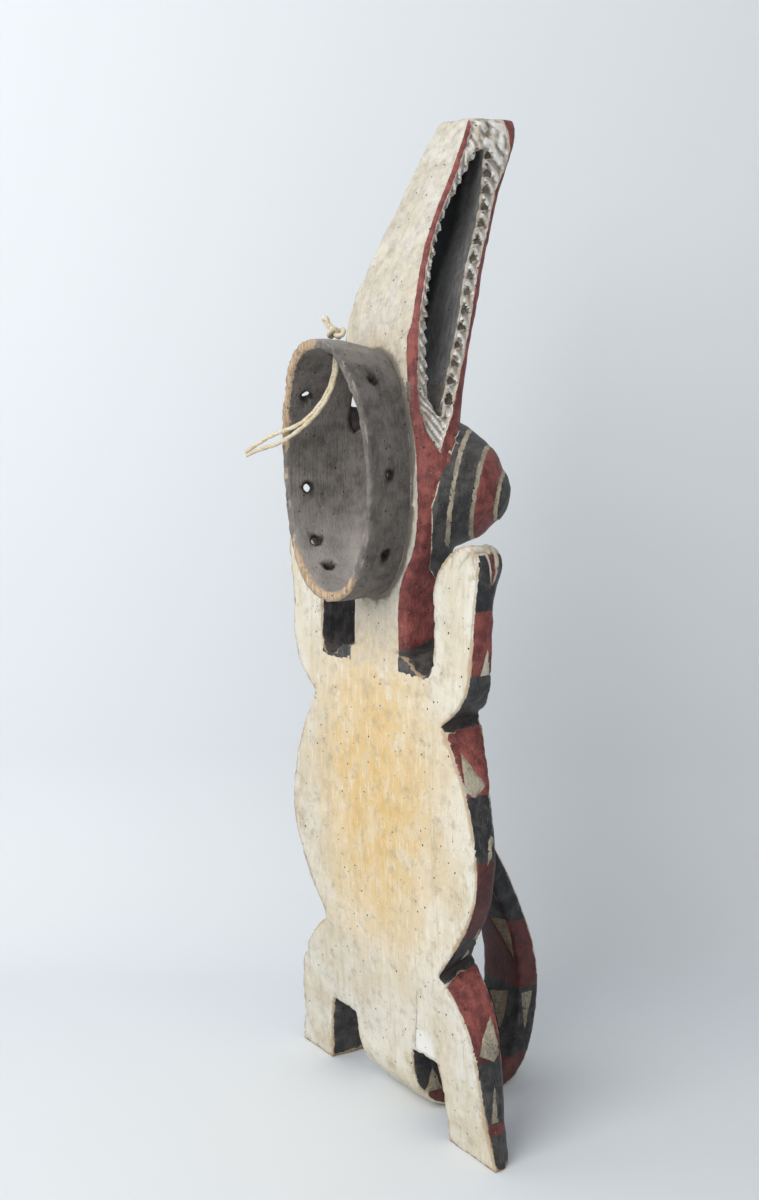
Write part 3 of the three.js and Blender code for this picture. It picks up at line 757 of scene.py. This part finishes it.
def painted_wood():
    """Kaolin white, red and black earth paint and dark stain, thresholds on the painted fields."""
    material, tree, shader = new_material("painted_wood")
    place = node(tree, "ShaderNodeTexCoord").outputs["Object"]
    red_edge, black_edge, stain_edge = channels(tree, "paint")
    bare_wood, ochre_stain, soot_and_shade = channels(tree, "wear")
    edge, cut_dirt_and_shade, mouth_light_share = channels(tree, "form")
    dirt_share, fresh_wood, greyed_and_far_shade = channels(tree, "tone")
    hole_shade, painted_light_in_cup, tooth_light = channels(tree, "part")

    def plus(first, second):
        return reckon(tree, "ADD", first, second)

    def minus(first, second):
        return reckon(tree, "SUBTRACT", first, second)

    def times(first, second):
        return reckon(tree, "MULTIPLY", first, second)

    along_grain = stretched(tree, place, (1, 1, 0.05))
    grain = cloud(tree, along_grain, 2.0, 4.0, 0.6)
    wide_grain = cloud(tree, along_grain, 9, 3.0)
    brushed = cloud(tree, stretched(tree, place, (1, 1, 0.22), (0.3, 0.2, 0)), 5, 4.0, 0.65)
    patches = cloud(tree, place, 60, 3.0)
    broad = cloud(tree, place, 28, 4.0, 0.65)
    scuffs = cloud(tree, place, 24, 9.0, 0.74)
    mottle = cloud(tree, place, 13, 5.0, 0.62)
    fine = cloud(tree, place, 2.4, 4.0, 0.65)

    # White ground, with ochre on the belly, white and brown from brush, grain and hands, and grey: a grey
    # tone, most on the head, that is painted shade on the far leg and the far side of the belly
    clay = coated(tree, (0.75, 0.72, 0.63, 1), (patches, 0.38, 0.62, 0.0, 1.0, (0.68, 0.61, 0.46, 1)))
    ochre_share = times(ochre_stain, stepped(tree, broad, 0.3, 0.62, 0.5, 1.0))
    clay = mixed(tree, ochre_share, clay, (0.72, 0.475, 0.17, 1))
    clay = coated(tree, clay,
                  (brushed, 0.5, 0.74, 0.0, 0.5, (0.86, 0.83, 0.75, 1)),
                  (wide_grain, 0.52, 0.75, 0.0, 0.35, (0.52, 0.42, 0.27, 1)))
    greyed_and_far_shade = times(greyed_and_far_shade, stepped(tree, mottle, 0.34, 0.66, 0.25, 0.7))
    clay = mixed(tree, greyed_and_far_shade, clay, (0.42, 0.395, 0.355, 1))
    clay = coated(tree, clay,
                  (scuffs, 0.56, 0.64, 0.0, 0.26, (0.45, 0.37, 0.26, 1)),
                  (scuffs, 0.36, 0.43, 0.2, 0.0, (0.88, 0.86, 0.8, 1)),
                  (broad, 0.54, 0.72, 0.0, 0.5, (0.46, 0.39, 0.29, 1)),
                  (mottle, 0.54, 0.7, 0.0, 0.55, (0.42, 0.34, 0.22, 1)),
                  (grain, 0.58, 0.76, 0.0, 0.55, (0.33, 0.25, 0.16, 1)),
                  (fine, 0.6, 0.76, 0.0, 0.6, (0.27, 0.21, 0.15, 1)),
                  (fine, 0.26, 0.4, 0.6, 0.0, (0.86, 0.84, 0.78, 1)))

    # Teeth in a whiter clay with painted light, white where they rise and grey painted shade where they
    # sink; dirt on the triangles and the new chip's wood
    bone_with_painted_light = coated(tree, (0.86, 0.84, 0.81, 1), (mottle, 0.42, 0.62, 0.0, 1.0, (0.62, 0.54, 0.44, 1)))
    bone_with_painted_light = coated(tree, (0.42, 0.38, 0.34, 1), (tooth_light, 0.3, 0.8, 0.0, 1.0, bone_with_painted_light))
    clay = coated(tree, clay, (tooth_light, 0.05, 0.3, 0.0, 1.0, bone_with_painted_light))
    soiled = coated(tree, (0.36, 0.28, 0.15, 1), (mottle, 0.4, 0.6, 0.0, 1.0, (0.17, 0.135, 0.09, 1)))
    soiled = mixed(tree, times(soot_and_shade, 0.8), soiled, (0.11, 0.088, 0.06, 1))
    clay = mixed(tree, times(dirt_share, stepped(tree, fine, 0.3, 0.62, 1.0, 0.6)), clay, soiled)
    fresh_tone = mixed(tree, grain, (0.85, 0.84, 0.82, 1), (0.72, 0.68, 0.6, 1))
    clay = mixed(tree, fresh_wood, clay, fresh_tone)

    # Red earth, darker where it is sooted, and on the tail darker as painted shade
    red_tone = coated(tree, (0.15, 0.04, 0.036, 1),
                      (mottle, 0.36, 0.64, 0.0, 1.0, (0.31, 0.088, 0.075, 1)),
                      (brushed, 0.5, 0.68, 0.0, 0.6, (0.085, 0.028, 0.028, 1)),
                      (grain, 0.6, 0.72, 0.0, 0.5, (0.42, 0.18, 0.15, 1)),
                      (fine, 0.62, 0.74, 0.0, 0.6, (0.56, 0.36, 0.32, 1)))
    sooted_and_shaded = times(soot_and_shade, stepped(tree, patches, 0.25, 0.5, 0.5, 1.0))
    red_tone = mixed(tree, sooted_and_shaded, red_tone, (0.045, 0.02, 0.02, 1))

    # Black earth; in the mouth painted light makes it grey on the near part, and painted shade makes it
    # almost black farther in
    mouth_lit_tone = coated(tree, (0.13, 0.127, 0.127, 1),
                        (brushed, 0.35, 0.7, 0.0, 1.0, (0.25, 0.24, 0.23, 1)))
    black_tone = coated(tree, (0.02, 0.022, 0.026, 1),
                        (mottle, 0.4, 0.68, 0.0, 1.0, (0.07, 0.065, 0.062, 1)),
                        (grain, 0.58, 0.72, 0.0, 0.6, (0.17, 0.155, 0.14, 1)),
                        (fine, 0.64, 0.76, 0.0, 0.5, (0.27, 0.24, 0.2, 1)))
    black_tone = mixed(tree, times(greyed_and_far_shade, 0.5), black_tone, (0.22, 0.2, 0.18, 1))
    black_tone = coated(tree, black_tone,
                        (mouth_light_share, 0.0, 1.0, 0.0, 1.0, mouth_lit_tone),
                        (mouth_light_share, -0.7, 0.0, 1.0, 0.0, (0.007, 0.007, 0.009, 1)))

    # Stain of the cup, with painted light that makes it paler low inside and on top, and bare wood
    stain_tone = coated(tree, (0.105, 0.094, 0.086, 1),
                        (mottle, 0.34, 0.66, 0.0, 1.0, (0.19, 0.172, 0.158, 1)),
                        (brushed, 0.5, 0.72, 0.0, 0.4, (0.27, 0.245, 0.22, 1)),
                        (broad, 0.45, 0.72, 0.0, 0.5, (0.27, 0.245, 0.215, 1)),
                        (grain, 0.56, 0.72, 0.0, 0.5, (0.06, 0.05, 0.045, 1)),
                        (fine, 0.58, 0.76, 0.0, 0.55, (0.38, 0.33, 0.28, 1)))
    cup_light_share = times(painted_light_in_cup, stepped(tree, broad, 0.3, 0.6, 0.4, 0.8))
    stain_tone = mixed(tree, cup_light_share, stain_tone, (0.42, 0.39, 0.36, 1))
    wood_tone = coated(tree, (0.3, 0.2, 0.12, 1), (grain, 0.3, 0.7, 0.0, 1.0, (0.6, 0.45, 0.31, 1)))

    # The coats over each other, with ragged borders and small flakes gone
    ragged = swung(tree, cloud(tree, place, 7, 5.0, 0.65), 3.4)
    flaked = stepped(tree, cloud(tree, place, 4.5, 5.0, 0.7), 0.66, 0.7)
    kept = minus(1.0, times(flaked, stepped(tree, patches, 0.4, 0.6, 0.1, 0.9)))
    red_share = times(stepped(tree, plus(red_edge, ragged), -0.3, 0.35), kept)
    black_share = times(stepped(tree, plus(black_edge, ragged), -0.3, 0.35), kept)
    stain_share = stepped(tree, plus(stain_edge, times(ragged, 0.4)), -0.3, 0.35)
    colour = mixed(tree, red_share, clay, red_tone)
    colour = mixed(tree, black_share, colour, black_tone)
    colour = mixed(tree, stain_share, colour, stain_tone)
    bare_share = stepped(tree, plus(bare_wood, swung(tree, mottle, 1.8)), 0.36, 0.5)
    colour = mixed(tree, bare_share, colour, wood_tone)

    # Dirt and painted shade in the cuts, edges rubbed to the wood, dark corners, painted shade in the cup's
    # hollow, and small worm holes
    cut_dirt_and_shade_tone = mixed(tree, mottle, (0.12, 0.09, 0.065, 1), (0.36, 0.27, 0.19, 1))
    colour = mixed(tree, times(cut_dirt_and_shade, 0.85), colour, cut_dirt_and_shade_tone)
    uneven_rub = plus(swung(tree, mottle, 1.2), swung(tree, patches, 1.8))
    rubbed = stepped(tree, plus(edge, uneven_rub), 0.74, 0.9, 0.0, 0.6)
    rub_tone = mixed(tree, stain_share, (0.5, 0.34, 0.2, 1), (0.42, 0.34, 0.28, 1))
    colour = mixed(tree, rubbed, colour, rub_tone)
    colour = coated(tree, colour, (times(edge, -1.0), 0.12, 0.6, 0.0, 0.75, (0.06, 0.045, 0.035, 1)))
    # Painted shade inside the cup's hollow
    colour = mixed(tree, times(hole_shade, 0.9), colour, (0.018, 0.014, 0.012, 1))
    pits = node(tree, "ShaderNodeTexVoronoi", {"Vector": place, "Scale": 1000 / 10.5})
    pit_size = node(tree, "ShaderNodeSeparateColor", {0: pits.outputs["Color"]}).outputs[0]
    pit_reach = plus(times(pit_size, 0.05), 0.045)
    pit = stepped(tree, minus(pits.outputs["Distance"], pit_reach), 0.0, 0.02, 1.0, 0.0)
    colour = mixed(tree, pit, colour, (0.05, 0.03, 0.02, 1))
    tree.links.new(colour, shader.inputs["Base Color"])

    painted = reckon(tree, "MAXIMUM", red_share, black_share)
    rough = plus(stepped(tree, painted, 0.0, 1.0, 0.76, 0.52), swung(tree, mottle, 0.3))
    rough = plus(rough, stepped(tree, mouth_light_share, -0.6, 0.0, 0.4, 0.0))
    tree.links.new(rough, shader.inputs["Roughness"])
    shader.inputs["Specular IOR Level"].default_value = 0.3
    height = plus(times(grain, 0.45), times(fine, 0.45))
    height = plus(height, times(brushed, 0.5))
    height = plus(height, times(painted, 0.12))
    height = minus(height, pit)
    bump = node(tree, "ShaderNodeBump", {"Height": height, "Strength": 1.0, "Distance": 0.0014})
    tree.links.new(bump.outputs["Normal"], shader.inputs["Normal"])
    return material


mask = add_piece("crocodile_mask", mask_mesh, painted_wood())
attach(mask, "root")
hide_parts("carved_mask")

# The studio: a pale sweep of paper that is floor and backdrop, bent up close behind the mask so
# that it takes its soft shadow, and lit by two softboxes from the belly's side
sweep_width = 9.0
sweep_front = -3.5
floor_depth = 0.3                    # from the mask's middle to where the paper bends up
sweep_radius = 0.24
wall_height = 4.0
away = np.array([-np.sin(camera_turn), np.cos(camera_turn)])
aside = np.array([np.cos(camera_turn), np.sin(camera_turn)])
bend_angle = np.linspace(0, np.pi / 2, 24)
sweep_run = np.concatenate([[sweep_front], floor_depth + sweep_radius * np.sin(bend_angle),
                            [floor_depth + sweep_radius]])
sweep_rise = np.concatenate([[0], sweep_radius * (1 - np.cos(bend_angle)), [wall_height]])
sweep_columns = 3
sweep_side = np.linspace(-sweep_width / 2, sweep_width / 2, sweep_columns)
sweep_grid = np.stack([
    sweep_run[:, None] * away[0] + sweep_side * aside[0],
    sweep_run[:, None] * away[1] + sweep_side * aside[1],
    np.repeat(sweep_rise[:, None], sweep_columns, axis=1)], axis=-1)
sweep_corner = np.arange(len(sweep_run) * sweep_columns).reshape(-1, sweep_columns)
sweep_faces = np.stack([sweep_corner[:-1, :-1], sweep_corner[:-1, 1:], sweep_corner[1:, 1:],
                        sweep_corner[1:, :-1]], axis=-1).reshape(-1, 4)
sweep_mesh = bpy.data.meshes.new("paper_sweep")
sweep_mesh.from_pydata(sweep_grid.reshape(-1, 3), [], sweep_faces.tolist())
sweep_mesh.shade_smooth()
paper, paper_tree, paper_shader = new_material("paper")
paper_place = node(paper_tree, "ShaderNodeTexCoord").outputs["Object"]
paper_cloud = cloud(paper_tree, paper_place, 700, 2.0)
paper_tone = mixed(paper_tree, paper_cloud, (0.755, 0.79, 0.82, 1), (0.775, 0.805, 0.83, 1))
paper_tree.links.new(paper_tone, paper_shader.inputs["Base Color"])
paper_shader.inputs["Roughness"].default_value = 0.8
# The paper stands close behind the mask, so it lets a view from behind it through to the mask
paper_side = node(paper_tree, "ShaderNodeNewGeometry").outputs["Backfacing"]
unseen = node(paper_tree, "ShaderNodeBsdfTransparent").outputs[0]
one_sided = node(paper_tree, "ShaderNodeMixShader",
                 {0: paper_side, 1: paper_shader.outputs[0], 2: unseen})
paper_tree.links.new(one_sided.outputs[0], paper_tree.nodes["Material Output"].inputs["Surface"])
add_piece("paper_sweep", sweep_mesh, paper)


def softbox(name, place, aim, size, power, tint):
    """A square area light that looks at a point."""
    lamp = bpy.data.lights.new(name, "AREA")
    lamp.shape = "SQUARE"
    lamp.size = size
    lamp.energy = power
    lamp.color = tint
    holder = bpy.data.objects.new(name, lamp)
    holder.location = place
    holder.rotation_euler = (Vector(aim) - Vector(place)).to_track_quat("-Z", "Y").to_euler()
    scene.collection.objects.link(holder)


softbox("key", (0.7, -2.05, 1.75), (0, 0, 0.5), 1.9, 48, (1.0, 0.995, 0.985))
softbox("backdrop", (-1.3, -1.5, 1.6), (-1.0, -0.2, 0.9), 1.0, 5.5, (0.97, 0.985, 1.0))
world = bpy.data.worlds.new("studio")
scene.world = world
world.use_nodes = True
world.node_tree.nodes["Background"].inputs["Color"].default_value = (0.9, 0.915, 0.93, 1)
world.node_tree.nodes["Background"].inputs["Strength"].default_value = 0.49
